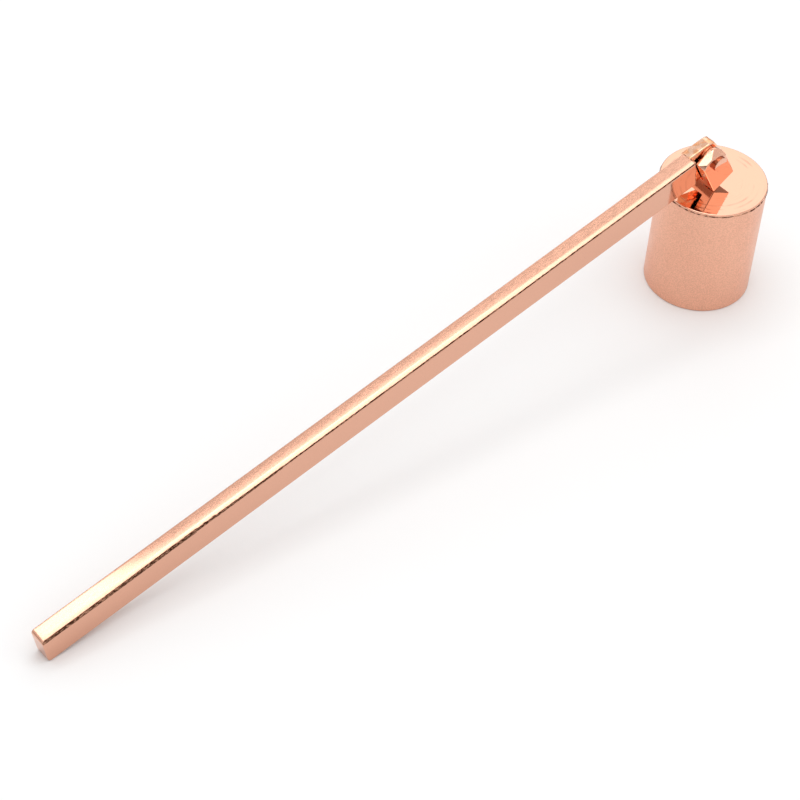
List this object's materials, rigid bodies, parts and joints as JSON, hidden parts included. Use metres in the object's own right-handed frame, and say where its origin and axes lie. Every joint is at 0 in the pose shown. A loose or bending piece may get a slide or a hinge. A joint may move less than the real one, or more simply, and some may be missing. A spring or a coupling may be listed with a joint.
{
  "type": "candle snuffer",
  "caption": "Candle snuffer: a plain cylindrical cup on a swivelling, hinged knuckle at the end of a long flat-bar handle, in rose-gold plate.",
  "frame": {"origin": "centre of the cup's mouth, on the plane of its rim", "axes": "+Z along the cup's axis from the mouth to the cap; the handle runs towards -X and the hinge pin lies along Y. At rest the cup stands on its rim and the handle's free end lies on the same plane."},
  "size_m": [0.2254, 0.028, 0.0478],
  "materials": {
    "cup_satin": "satin rose-gold plate on steel tube",
    "cap_polish": "mirror-polished rose-gold plate on steel",
    "hinge_polish": "bright rose-gold plate on steel",
    "bar_satin": "satin rose-gold plate on steel bar",
    "fixings": "plain turned brass, thinly plated"
  },
  "bodies": {
    "cup": {"cup_wall": "cup_satin", "cup_cap": "cap_polish"},
    "swivel": {"knuckle": "hinge_polish", "swivel_stem": "fixings", "stem_washer": "fixings", "stem_nut": "fixings", "hinge_pin": "hinge_polish", "hinge_spacer": "fixings", "back_washer": "hinge_polish"},
    "handle": {"handle_bar": "bar_satin", "hinge_eye": "hinge_polish"}
  },
  "joints": [
    {"name": "head_swivel", "type": "hinge", "parent": "cup", "child": "swivel", "pos_m": [0, 0, 0.0337], "axis": [0, 0, 1], "continuous": true},
    {"name": "handle_hinge", "type": "hinge", "parent": "swivel", "child": "handle", "pos_m": [-0.00402, 0, 0.04374], "axis": [0, 1, 0], "range_deg": [-16, 186]}
  ]
}
